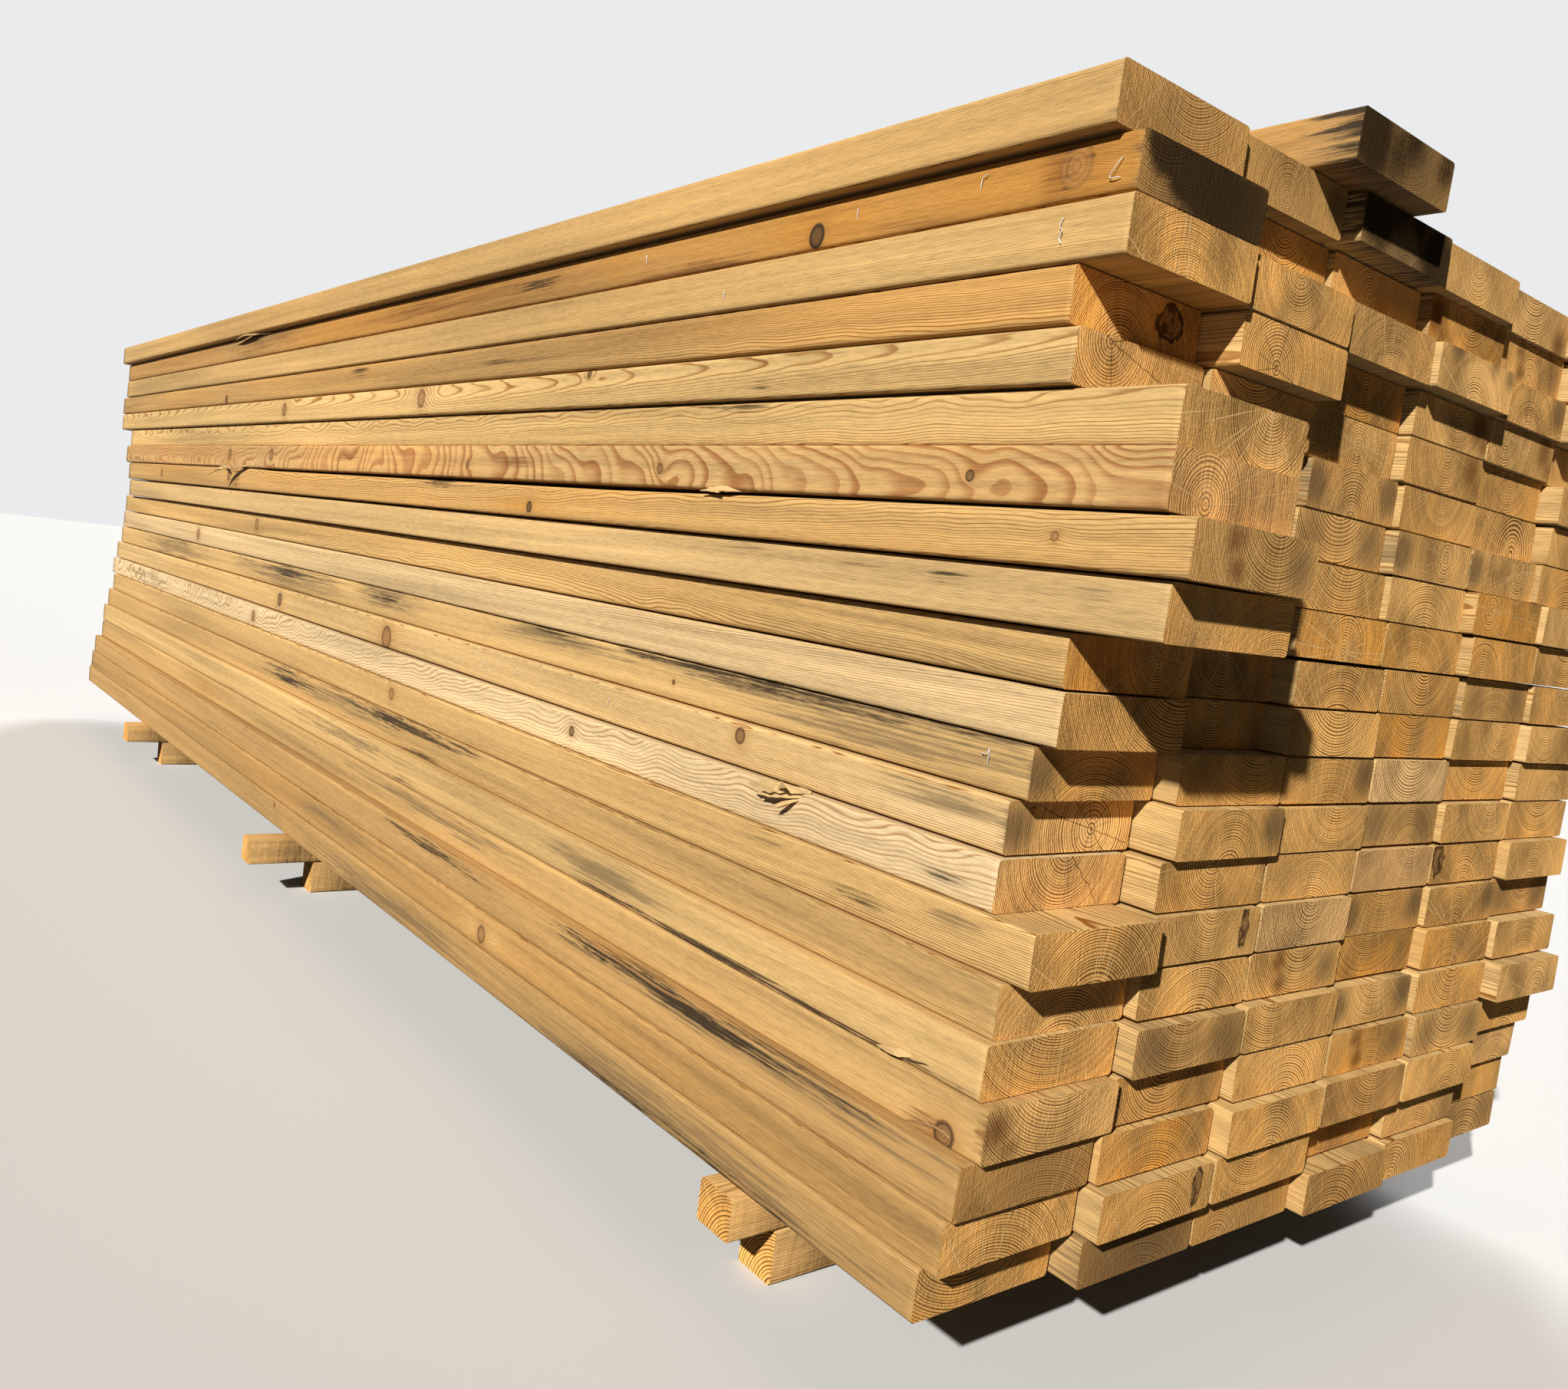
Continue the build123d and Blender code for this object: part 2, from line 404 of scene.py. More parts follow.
KNOT_LIVE = colour(0.36, 0.19, 0.072)
KNOT_RING = colour(0.11, 0.038, 0.01)
KNOT_DEAD = colour(0.022, 0.014, 0.010)
KNOT_HALO = colour(0.29, 0.118, 0.028)
CRACK = colour(0.030, 0.014, 0.007)
RAY = colour(0.86, 0.58, 0.27)
STAPLE_WIRE = colour(0.689, 0.674, 0.640)

# How deep the fine relief of the wood is
RELIEF = 0.3 * MM

# How fast the rings get narrower away from the heart, per metre
NARROWING = 5.0

# How much closer together the rings lie up the long faces than on the ends
SIDE_STRETCH = 1.5

# Rates of the noises in the wood, per metre along the grain and across it, or on an end
WANDER = (1.6, 9)
LICK = (12, 7)
BROAD = (1.3, 10)
FIBRE = (60, 620)
STREAK = (7, 330)
BAND = (1.4, 95)
CLOUD = 10
PORES = 800

# How far the wander and the flames shift a ring
WANDER_REACH = 8 * MM
LICK_REACH = 45 * MM

# Dark latewood, as shares of a ring: where it starts on long faces and on ends, how much
# sooner in flames, and where it is full and stops
SIDE_LATE_FROM = 0.64
END_LATE_FROM = 0.30
FLAME_SOONER = 0.30
LATE_FULL = 0.88
LATE_STOPS = 0.93

# How far a knot pushes the rings aside and lifts them, in its radii
KNOT_BOW = 0.85
KNOT_LIFT = 1.15

# Rays and splits on an end: how many could be there, how wide, and how far the splits reach
RAYS, RAY_WIDTH = 72, 0.5 * MM
SPLITS, SPLIT_WIDTH = 12, 0.40 * MM
SPLIT_REACH = 0.22

# Roughness and gloss of the faces
SIDE_ROUGHNESS, SIDE_GLOSS = 0.68, 0.1
END_ROUGHNESS, END_GLOSS = 0.8, 0.0
STAPLE_ROUGHNESS, STAPLE_METAL = 0.38, 0.75

# Stains in the order of the wear numbers: colour, where their frayed edges start and are full,
# the wear at which they are whole, and how much they cover. The brown row also paints the
# shadow that a splinter casts on one front board
STAINS_AND_SHADOW = [
    (GREY_STAIN, 0.20, 1.15, 0.4, 0.72),
    (BROWN_STAIN_AND_SHADOW, 0.25, 1.25, 0.4, 0.78),
    (MOULD, 0.35, 1.10, 0.5, 0.90),
]


def swing(*parts):
    """The sum of noises, each less its mean and times its own amount."""
    return sum((noise - 0.5) * amount for noise, amount in parts)


def ring_pattern(s, place, shift, ring_width, flame, extra, late_from, ripple):
    """How much latewood there is at a point, and its distance from the tree's heart."""
    x, y, z = place
    shift_x, shift_y, taper = shift
    moved = (x + shift_x, y + shift_y, z)
    wander = s.grain_noise(moved, *WANDER, ripple, 0.54) - 0.5
    lick = s.grain_noise(moved, *LICK, 1.0, 0.4) - 0.5
    distance = s.math("SQRT", y * y + z * z)
    grown = distance + wander * WANDER_REACH + lick * flame * LICK_REACH + x * taper + extra
    count = grown * (distance * NARROWING + 1.0) / (ring_width * MM)
    uneven = s.noise(count * 0.31, shift_y * 9, shift_x, 0.0) - 0.5
    phase = count + uneven * 1.1
    ring = s.math("FRACT", phase)
    strength = s.noise(s.math("FLOOR", phase) * 0.71, shift_y * 5, 0.0, 0.0)
    late = ring.step(late_from - flame * FLAME_SOONER, LATE_FULL)
    late = late * (1.0 - ring.step(LATE_STOPS, 1.0))
    return late * (strength.step(0.30, 0.62) * 0.45 + 0.55), distance


def stains_and_shadow(s, wood, wear_and_shade, loose):
    """Stains, and one painted splinter shadow, where the wear numbers are high, with edges frayed
    by a noise.
    """
    for amount, (stain, start, full, whole, cover) in zip(wear_and_shade, STAINS_AND_SHADOW):
        share = (amount + loose).step(start, full) * amount.step(0.03, whole) * cover
        wood = s.mix(share, wood, stain)
    return wood


def tinted(s, wood, tone, orange, patchy, pale, dark, warm):
    """The wood made paler or darker, and more orange in patches."""
    wood = s.mix(tone.step(0.0, 1.0) * 0.8, wood, pale)
    wood = s.mix((0.0 - tone).step(0.0, 1.0) * 0.8, wood, dark)
    share = s.math("MAXIMUM", orange, 0.0) * (patchy.step(0.3, 0.7) * 0.7 + 0.25)
    return s.mix(share, wood, warm)


def shaded(s, wood, shade):
    return s.node("ShaderNodeVectorMath", {0: wood, "Scale": shade}, operation="SCALE")


def side_material(name, rough):
    """A long face: rings cut lengthwise, with knots, fine fibres and streaky stains, and on one
    board a painted shadow.
    """
    s = Shader(name)
    x, y, z = s.read("grain")
    shift_x, shift_y, taper = s.read("shift")
    along, across, near = s.read("knot")
    ring_width, tone, orange = s.read("look")
    pink, contrast, flame = s.read("tint")
    dead, radius, facing = s.read("knot_look")
    wear_and_shade = s.read("wear_and_shade")
    nx, ny = x + shift_x, y + shift_y
    place = (nx, ny, z)

    # Rings bow out round a knot, and it lifts them where the face runs along them
    squared = along * along + across * across
    lens = s.bell(along * along * 0.12 + across * across * 0.30) * near
    bow = across * radius * facing * lens * -KNOT_BOW
    lift = s.bell(along * along * 0.09 + across * across * 0.22) * near * radius * KNOT_LIFT
    ring_width = ring_width * (flame * flame * 2.1 + 1.0)
    grain, shift = (x, y, z * SIDE_STRETCH), (shift_x, shift_y, taper)
    late = ring_pattern(s, grain, shift, ring_width, flame, bow + lift, SIDE_LATE_FROM, 5.0)[0]
    broad = s.grain_noise(place, *BROAD, 1.0)
    fibre = s.grain_noise(place, *FIBRE, 2.0, 0.7)
    streak = s.grain_noise(place, *STREAK, 3.0, 0.7)
    band = s.grain_noise(place, *BAND, 2.0, 0.6)

    early = tinted(s, SIDE_EARLY, tone, orange, broad, SIDE_PALE, SIDE_DARK, SIDE_ORANGE)
    line = s.mix(tone.step(0.0, 1.0) * 0.6, SIDE_LATE, LATE_PALE)
    line = s.mix(flame.step(0.5, 1.0) * 0.8, line, FLAME)
    wood = s.mix(late * contrast * 0.95, early, line)
    wood = s.mix(pink * 0.25, wood, PINK)
    shade = swing((fibre, 0.75), (broad, 0.7), (band, 0.85), (streak, 0.35)) + 0.99
    wood = s.mix(fibre.step(0.62, 0.80) * 0.35, shaded(s, wood, shade), SIDE_LATE)
    wood = stains_and_shadow(s, wood, wear_and_shade, swing((streak, 3.4), (fibre, 1.2)))

    # The knot itself, with its rings, a dark rim of bark and a dark halo round it
    knot = s.math("SQRT", squared) + (broad - 0.5) * 0.5
    halo = s.bell(squared * 0.30) * near
    inside = (1.0 - knot.step(0.85, 1.0)) * near
    bark = knot.step(0.62, 0.92) * (1.0 - knot.step(0.98, 1.2)) * near
    rings = s.math("FRACT", knot * 3.4).step(0.5, 0.95) * 0.8
    face = s.mix(s.math("MAXIMUM", rings, knot.step(0.55, 1.05)), KNOT_LIVE, KNOT_RING)
    face = s.mix(dead * 0.75, face, KNOT_DEAD)
    wood = s.mix(halo * 0.5, wood, KNOT_HALO)
    wood = s.mix(inside * (dead * 0.2 + 0.72), wood, face)
    wood = s.mix(bark * (dead * 0.45 + 0.45), wood, KNOT_DEAD)

    s.put("Base Color", wood)
    s.put("Roughness", SIDE_ROUGHNESS)
    s.put("Specular IOR Level", SIDE_GLOSS)
    relief = fibre
    if rough:
        relief = fibre * 2.0 + s.noise(nx * 140, ny * 140, z * 30, 1.0) * 5.0
    s.put("Normal", s.bump(relief, RELIEF))
    return s.material


def end_material(name, rough):
    """A sawn end: whole rings, pale rays and dark splits that run out from the heart."""
    s = Shader(name)
    x, y, z = s.read("grain")
    shift_x, shift_y, taper = s.read("shift")
    ring_width = s.read("look")[0]
    tone, orange, flaws = s.read("end_look")
    pink, contrast, flame = s.read("tint")
    wear_and_shade = s.read("wear_and_shade")
    ny = y + shift_y

    grain, shift = (x, y, z), (shift_x, shift_y, taper)
    late, distance = ring_pattern(s, grain, shift, ring_width, flame * 0.2, 0.0,
                                  END_LATE_FROM, 2.0)
    broad = s.noise(shift_x, ny * 22, z * 16, 2.0, 0.6)
    pores = s.noise(shift_x, ny * PORES, z * PORES, 2.0, 0.7)
    cloud = s.noise(shift_x, ny * CLOUD, z * CLOUD, 1.0)

    early = tinted(s, END_EARLY, tone, orange, broad, END_PALE, END_DARK, END_ORANGE)
    wood = s.mix(late * (contrast * 0.25 + 0.75), early, END_LATE)
    wood = s.mix(pink * 0.35, wood, PINK)
    shade = swing((pores, 1.3), (broad, 1.5), (cloud, 1.1)) + 0.98
    wood = shaded(s, wood, s.math("MAXIMUM", shade, 0.55))

    turn = s.math("ARCTAN2", z, y) / (2 * math.pi)

    def spokes(count, seed, width, wobble):
        """Thin lines straight out from the heart, with a random number and an index for each."""
        bend = s.noise(distance * 70, turn * count * 0.6, seed, 1.0) - 0.5
        place = turn * count + bend * wobble
        index = s.math("FLOOR", place)
        off = s.math("ABSOLUTE", s.math("FRACT", place) - 0.5)
        aside = off * distance * (2 * math.pi / count)
        chance = s.noise(index * 0.73 + seed, shift_y * 7, shift_x * 3, 0.0)
        return 1.0 - aside.step(width * 0.4, width), chance, index

    ray, chance, index = spokes(RAYS, 3.1, RAY_WIDTH, 0.25)
    patch = s.noise(distance * 22, index * 1.7, shift_y, 0.0)
    ray = ray * chance.step(0.46, 0.56) * patch.step(0.44, 0.56)
    wood = s.mix(ray * (s.math("MAXIMUM", flaws, 0.0) * 0.65 + 0.3), wood, RAY)
    split, chance, _ = spokes(SPLITS, 8.3, SPLIT_WIDTH, 0.35)
    reach = (chance - 0.4) * SPLIT_REACH
    split = split * (1.0 - (distance - reach).step(-0.006, 0.004)) * chance.step(0.50, 0.53)
    wood = s.mix(split * (0.0 - flaws).step(0.2, 0.8) * 0.9, wood, CRACK)
    wood = stains_and_shadow(s, wood, wear_and_shade, swing((broad, 1.1), (pores, 0.8)) - late * 0.12)

    # A knot that the end cuts through, with a dark rim
    aside, above, present = s.read("end_knot")
    lumpy = s.noise(shift_x, y * 150, z * 110, 2.0)
    knot = s.math("SQRT", aside * aside + above * above) + (lumpy - 0.5) * 1.1
    oval = s.mix(s.math("FRACT", knot * 3.0).step(0.35, 0.8) * 0.6, KNOT_LIVE, KNOT_RING)
    oval = s.mix(lumpy.step(0.38, 0.52), KNOT_DEAD, oval)
    wood = s.mix((1.0 - knot.step(0.85, 1.0)) * present * 0.85, wood, oval)
    rim = knot.step(0.78, 0.95) * (1.0 - knot.step(1.0, 1.2))
    wood = s.mix(rim * present * 0.85, wood, KNOT_DEAD)
    s.put("Base Color", wood)
    s.put("Roughness", END_ROUGHNESS)
    s.put("Specular IOR Level", END_GLOSS)
    sawn = s.noise(y * 700, z * 60, shift_x, 1.0)
    relief = sawn * (5.0 if rough else 1.6) + pores
    s.put("Normal", s.bump(relief, RELIEF))
    return s.material


def staple_material():
    s = Shader("staple_wire")
    s.put("Base Color", STAPLE_WIRE)
    s.put("Metallic", STAPLE_METAL)
    s.put("Roughness", STAPLE_ROUGHNESS)
    return s.material


# Ranges of what differs from stick to stick. The gap above it and its bow are in mm
TONE_RANGE = (-0.32, 0.25)
ORANGE_RANGE = (0.0, 0.5)
CONTRAST_RANGE = (0.85, 1.15)
FLAME_RANGE = (0.0, 0.25)
TAPER_RANGE = (0.008, 0.022)
GAP_RANGE = (1.2, 3.2)
BOW_RANGE = (0.0, 0.5)

# What some words set in place of these
ARCS_TAPER = 0.035
FLAMES_TAPER = 0.24
CURLS_TAPER, CURLS_FLAME = 0.11, 0.6
CONTRASTS = {"bold": 1.5, "flames": 0.95}

# Flaws of an end: rays above 0, splits below it, and what an end has where no word says it
FLAWS = {"rays": 1.0, "checks": -1.0}
PLAIN_FLAWS = 0.35

# Shares of an end's brightness and orange that the long faces have
SIDE_TONE_SHARE, SIDE_ORANGE_SHARE = 0.6, 0.5

# Parts of a mesh along a plain stick, up it, and across a wide and a narrow one
PLAIN_STATIONS, PLAIN_ROWS = 16, 4
WIDE_PARTS, NARROW_PARTS = 20, 6


class Stick:
    """One board or bearer: where it lies, and what its wood is like. Places on it are given
    along it (0 at the near end, and negative into it), across it and up from its middle. Marks
    and knots give their place along it as a positive number."""

    def __init__(self, name, node, slot, low, high, words, number, turned=False):
        self.name, self.node, self.slot, self.turned = name, node, slot, turned
        self.low, self.high = Vector(low), Vector(high)
        self.centre = (self.low + self.high) / 2
        size = self.high - self.low
        self.length = size.y if turned else size.x
        self.half_width = (size.x if turned else size.y) / 2
        self.half_height = size.z / 2
        self.random = random.Random(f"{SEED} {name}")
        self.heart, self.ring_width, self.words = read_words(words)
        self.number = number
        self.marks, self.knots = [], []
        self.tone, self.orange, self.pink = 0.0, 0.0, 0.0
        for word in self.words:
            light, warm, rosy = TINTS.get(word, (0, 0, 0))
            self.tone += light
            self.orange += warm
            self.pink += rosy
        draw = self.random.uniform
        self.tone += draw(*TONE_RANGE)
        self.orange += draw(*ORANGE_RANGE)
        self.side_tone = self.tone * SIDE_TONE_SHARE
        self.side_orange = self.orange * SIDE_ORANGE_SHARE
        self.contrast = draw(*CONTRAST_RANGE)
        self.flame = 1.0 if "flames" in self.words else draw(*FLAME_RANGE)
        self.taper = ARCS_TAPER if "arcs" in self.words else draw(*TAPER_RANGE)
        if "flames" in self.words:
            self.taper = FLAMES_TAPER
        if "curls" in self.words:
            self.taper, self.flame = CURLS_TAPER, CURLS_FLAME
        self.flaws = PLAIN_FLAWS
        for word in self.words:
            self.contrast = CONTRASTS.get(word, self.contrast)
            self.flaws = FLAWS.get(word, self.flaws)
        self.gap_above = draw(*GAP_RANGE) * MM
        self.gap_profile = None
        self.bow = draw(*BOW_RANGE) * MM
        self.stations, self.rows = PLAIN_STATIONS, PLAIN_ROWS
        self.flat_columns = NARROW_PARTS if turned else WIDE_PARTS
        self.fine_to = 0.0

    def world(self, along, across, up):
        if self.turned:
            return (self.centre.x + across, self.low.y - along, self.centre.z + up)
        return (self.high.x + along, self.centre.y + across, self.centre.z + up)


def read_words(text):
    """The heart, the ring width and the other words that a stick's text gives."""
    words = text.split()
    across, up, ring_width = (float(word) for word in words[:3])
    return (across * MM, up * MM), ring_width * RING_SCALE, words[3:]


def columns_across(half_width, flat_columns):
    """Places across a section, close together at its two eased edges."""
    corner = [EDGE_RADIUS * (1 - math.cos(math.radians(turn))) for turn in (0, 30, 60, 90)]
    left = [-half_width + step for step in corner]
    flat = np.linspace(left[-1], -left[-1], flat_columns + 1)[1:-1]
    return np.array(left + list(flat) + [-place for place in reversed(left)])


def section_height(across, half_width, half_height):
    """Half the height of a section with rounded edges, at a place across it."""
    into_corner = np.maximum(np.abs(across) - (half_width - EDGE_RADIUS), 0)
    return half_height - EDGE_RADIUS + np.sqrt(np.maximum(EDGE_RADIUS**2 - into_corner**2, 0))


# The close stations of a front board, and how far into it they go
FINE_STATION = 6 * MM
FINE_TO = 0.66

# Its stations further in, and its mesh's parts up it and across it
FRONT_STATIONS, FRONT_ROWS, FRONT_PARTS = 90, 8, 14

# The wave in a stick's gap and bow: where it starts, and how fast it goes
WAVE_START = (0, 6.28)
WAVE_RANGE = (0.7, 1.6)
WAVE_RATE = 2.1
STEADY_GAP = 0.7

# How unevenly an end is cut, across it and up it, in mm
SLANT_RANGE = (-1, 1)
LEAN_RANGE = (-0.8, 0.8)

# The wander of the heart along a stick: how far in mm, how fast, and where it starts
DRIFT_RANGES = ((3, 8), (1.2, 2.6), WAVE_START)


def stick_stations(stick):
    """Places along a stick, close together near the near end of a front board."""
    if stick.fine_to:
        fine = np.arange(0, stick.fine_to, FINE_STATION)
        return np.concatenate([fine, np.linspace(stick.fine_to, stick.length, stick.stations)])
    return stick.length * np.linspace(0, 1, stick.stations + 1)


def stick_mesh(stick):
    """A closed mesh with a grid on each end and a ring of points at each station."""
    across = columns_across(stick.half_width, stick.flat_columns)
    tall = section_height(across, stick.half_width, stick.half_height)
    rows, columns = stick.rows, len(across)
    share = np.linspace(-1, 1, rows + 1)
    grid_across = np.repeat(across[None, :], rows + 1, 0)
    grid_up = share[:, None] * tall[None, :]

    rim = [(0, c) for c in range(columns)]
    rim += [(r, columns - 1) for r in range(1, rows + 1)]
    rim += [(rows, c) for c in range(columns - 2, -1, -1)]
    rim += [(r, 0) for r in range(rows - 1, 0, -1)]

    wave = stick.random.uniform(*WAVE_START)
    turn = stick.random.uniform(*WAVE_RANGE)
    slant = stick.random.uniform(*SLANT_RANGE) * MM
    lean = stick.random.uniform(*LEAN_RANGE) * MM

    def place(along, across_value, up_value):
        """A point of the straight stick, moved by its bow and by the gap above it."""
        bend = 0.5 + 0.5 * math.sin(wave + turn * along * WAVE_RATE)
        top = (up_value / stick.half_height + 1) / 2
        gap = stick.gap_above
        if stick.gap_profile:
            gap *= np.interp(-along, *stick.gap_profile)
        open_share = STEADY_GAP + (1 - STEADY_GAP) * bend
        lowered = gap * top * open_share - stick.bow * bend * (1 - top)
        return along, across_value, up_value - lowered

    points, faces, on_end = [], [], []

    def add_grid(at, sign):
        """The grid of one end, and its rim. The sign is 1 for the near end."""
        first = len(points)
        for r in range(rows + 1):
            for c in range(columns):
                b, u = grid_across[r, c], grid_up[r, c]
                cut = slant * (b / stick.half_width - 1) / 2 * np.sign(slant)
                cut += lean * (u / stick.half_height - np.sign(lean)) / 2
                cut = -abs(cut) * sign
                points.append(place(at + cut, b, u))
        for r in range(rows):
            for c in range(columns - 1):
                a = first + r * columns + c
                quad = [a, a + 1, a + columns + 1, a + columns]
                faces.append(quad if sign > 0 else quad[::-1])
                on_end.append(True)
        return [first + r * columns + c for r, c in rim]

    places = -stick_stations(stick)
    rings = [add_grid(0.0, 1)]
    for along in places[1:-1]:
        first = len(points)
        points.extend(place(along, grid_across[r, c], grid_up[r, c]) for r, c in rim)
        rings.append(list(range(first, first + len(rim))))
    rings.append(add_grid(places[-1], -1))
    for near, far in zip(rings, rings[1:]):
        for i in range(len(rim)):
            j = (i + 1) % len(rim)
            faces.append([near[i], far[i], far[j], near[j]])
            on_end.append(False)
    return np.array(points), faces, on_end


def heart_drift(stick, along):
    """How far the tree's heart has wandered sideways at a place along the stick."""
    across, up = stick.drifts
    return [reach * MM * (math.cos(along * rate + start) - math.cos(start))
            for reach, rate, start in (across, up)]


# Kinds of wear, in the order of the wear numbers. The brown kind also paints a splinter's shadow
# on one front board
WEAR_AND_SHADE_KINDS = ("grey", "brown", "mould")


def mark_data(stick, points):
    """The wear and painted shadow, the brightness and the orange that a stick's marks give each
    point.
    """
    wear_and_shade = np.zeros((len(points), 3))
    tone = np.full(len(points), stick.side_tone)
    orange = np.full(len(points), stick.side_orange)
    for kind, along, across, up, length, radius, strength in stick.marks:
        reach = np.abs((points[:, 0] + along) / (length / 2)) ** 2
        aside = ((points[:, 1] - across) ** 2 + (points[:, 2] - up) ** 2) / radius**2
        value = strength * np.exp(-reach - aside)
        if kind in WEAR_AND_SHADE_KINDS:
            column = WEAR_AND_SHADE_KINDS.index(kind)
            wear_and_shade[:, column] = np.maximum(wear_and_shade[:, column], value)
        elif kind == "orange":
            orange += value
        else:
            tone += value if kind == "pale" else -value
    return wear_and_shade, tone, orange


# How deep under its face a knot goes on, how far it bends the grain, at least and in its
# radii, and how near two knots have to be for both to fade out between them
KNOT_DEPTH = 30 * MM
KNOT_LEAST_REACH = 90 * MM
KNOT_REACH = 6
KNOT_MEETING = 30 * MM


def knot_data(stick, points, grain):
    """Where each point lies from the knot nearest to it, and what that knot is like."""
    count = len(points)
    knot = np.zeros((count, 3))
    knot_look = np.zeros((count, 3))
    nearest = np.full(count, np.inf)
    for along, across, up, radius, is_dead in stick.knots:
        face = Vector((across, up))
        if abs(across) > stick.half_width * 0.97:
            outward = Vector((math.copysign(1, across), 0))
        else:
            outward = Vector((0, math.copysign(1, up)))
        heart = Vector(stick.heart) + Vector(heart_drift(stick, -along))
        ray = (outward * 2 + (face - heart).normalized()).normalized()
        off = points[:, 0] + along
        side = (points[:, 1] - face.x) * -ray.y + (points[:, 2] - face.y) * ray.x
        out = (points[:, 1] - face.x) * ray.x + (points[:, 2] - face.y) * ray.y
        away = np.abs(off) + np.maximum(-out - KNOT_DEPTH, 0) * 20
        reach = max(KNOT_LEAST_REACH, radius * KNOT_REACH)
        size = np.maximum(np.hypot(grain[:, 1], grain[:, 2]), MM)
        facing = (grain[:, 1] * -ray.y + grain[:, 2] * ray.x) / size
        near = np.clip((reach * 1.5 - away) / (reach * 0.5), 0, 1)
        take = away < nearest
        # Where two knots meet, both fade out, so that no false line shows between them
        rival = np.clip(np.abs(nearest - away) / KNOT_MEETING, 0, 1)
        knot[:, 2] *= rival
        near *= rival
        nearest = np.minimum(nearest, away)
        knot[take] = np.stack([off / radius, side / radius, near], 1)[take]
        look = [np.full(count, is_dead), np.full(count, radius), facing]
        knot_look[take] = np.stack(look, 1)[take]
    return knot, knot_look


def vertex_data(stick, points):
    """The numbers at each point of a stick that its materials read."""
    stick.drifts = [[stick.random.uniform(*span) for span in DRIFT_RANGES] for _ in range(2)]
    count = len(points)
    grain = np.zeros((count, 3))
    for i, (along, across, up) in enumerate(points):
        drift = heart_drift(stick, along)
        grain[i] = (along, across - stick.heart[0] - drift[0], up - stick.heart[1] - drift[1])
    if "turned" in stick.words:
        grain[:, 2] += FRONT_TURN * np.clip((-points[:, 1] - TURN_FROM) / TURN_WIDTH, 0, 1) ** 2
    wear_and_shade, tone, orange = mark_data(stick, points)
    knot, knot_look = knot_data(stick, points, grain)

    end_knot = np.zeros((count, 3))
    for word in stick.words:
        if word in END_KNOTS:
            middle_across, middle_up, wide, tall = (size * MM for size in END_KNOTS[word])
            end_knot[:, 0] = (points[:, 1] - middle_across) / wide
            end_knot[:, 1] = (points[:, 2] - middle_up) / tall
            end_knot[:, 2] = points[:, 0] > -stick.length / 2

    def same(*numbers):
        return np.tile(np.array(numbers, float), (count, 1))

    return {
        "grain": grain,
        "shift": same(3.5 * (stick.number % 10), 0.5 * (stick.number // 10), stick.taper),
        "look": np.stack([np.full(count, stick.ring_width), tone, orange], 1),
        "end_look": same(stick.tone, stick.orange, stick.flaws),
        "tint": same(stick.pink, stick.contrast, stick.flame),
        "wear_and_shade": wear_and_shade,
        "knot": knot,
        "knot_look": knot_look,
        "end_knot": end_knot,
    }


def store(mesh, values):
    """Keeps numbers for each point in a mesh, where the materials read them."""
    for name, numbers in values.items():
        attribute = mesh.attributes.new(name, "FLOAT_VECTOR", "POINT")
        attribute.data.foreach_set("vector", numbers.astype(np.float32).ravel())


def add_object(name, data):
    made = bpy.data.objects.new(name, data)
    bpy.context.scene.collection.objects.link(made)
    return made


def add_stick(stick, side, end):
    points, faces, on_end = stick_mesh(stick)
    mesh = bpy.data.meshes.new(stick.name)
    mesh.from_pydata([stick.world(*point) for point in points], [], faces)
    store(mesh, vertex_data(stick, points))
    mesh.materials.append(side)
    mesh.materials.append(end)
    mesh.polygons.foreach_set("material_index", [int(flag) for flag in on_end])
    mesh.polygons.foreach_set("use_smooth", [not flag for flag in on_end])
    mesh.update()
    piece = add_object(stick.name, mesh)
    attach(piece, "root")
    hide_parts(stick.node)


def loft(loops):
    """Points and faces of a closed skin over loops that have the same number of points."""
    sides = len(loops[0])
    points = [point for loop in loops for point in loop]
    faces = [list(range(sides))[::-1], [len(points) - sides + i for i in range(sides)]]
    for start in range(0, len(points) - sides, sides):
        for i in range(sides):
            j = (i + 1) % sides
            faces.append([start + i, start + j, start + sides + j, start + sides + i])
    return points, faces


def directions(spine):
    """The way that a spine runs at each of its points."""
    ends = [spine[0]] + spine + [spine[-1]]
    return [(after - before).normalized() for before, after in zip(ends, ends[2:])]


def wire(spine, radius, sides=8):
    """A round wire along a spine."""
    loops = []
    turns = [2 * math.pi * i / sides for i in range(sides)]
    for point, way in zip(spine, directions(spine)):
        first = first - way * first.dot(way) if loops else way.orthogonal()
        first = first.normalized()
        second = way.cross(first)
        loops.append([point + (first * math.cos(turn) + second * math.sin(turn)) * radius
                      for turn in turns])
    return loft(loops)


def smoothed(spine, steps):
    """More points on a smooth curve through a spine."""
    padded = [spine[0] * 2 - spine[1]] + spine + [spine[-1] * 2 - spine[-2]]
    curve = []
    for a, b, c, d in zip(padded, padded[1:], padded[2:], padded[3:]):
        for i in range(steps):
            t = i / steps
            curve.append((b * 2 + (c - a) * t + (a * 2 - b * 5 + c * 4 - d) * t**2
                          + (b * 3 - a - c * 3 + d) * t**3) / 2)
    return curve + [spine[-1]]


# How far the two ragged edges of a splinter lie from its spine, in its widths
RAGGED = (0.4, 0.65)


def splinter(spine, width, thickness, r):
    """A flat tapering sliver of wood with ragged edges."""
    curve = smoothed(spine, 5)
    loops = []
    for i, (point, way) in enumerate(zip(curve, directions(curve))):
        flat = way.cross(Vector((0, -1, 0.35))).normalized()
        thick = way.cross(flat)
        share = math.sin(math.pi * (0.08 + 0.88 * i / (len(curve) - 1)))
        left = point + flat * width * share * r.uniform(*RAGGED)
        right = point + flat * -width * share * r.uniform(*RAGGED)
        over = thick * thickness * (0.25 + 0.25 * share)
        loops.append([left + over, right + over, right - over, left - over])
    return loft(loops)


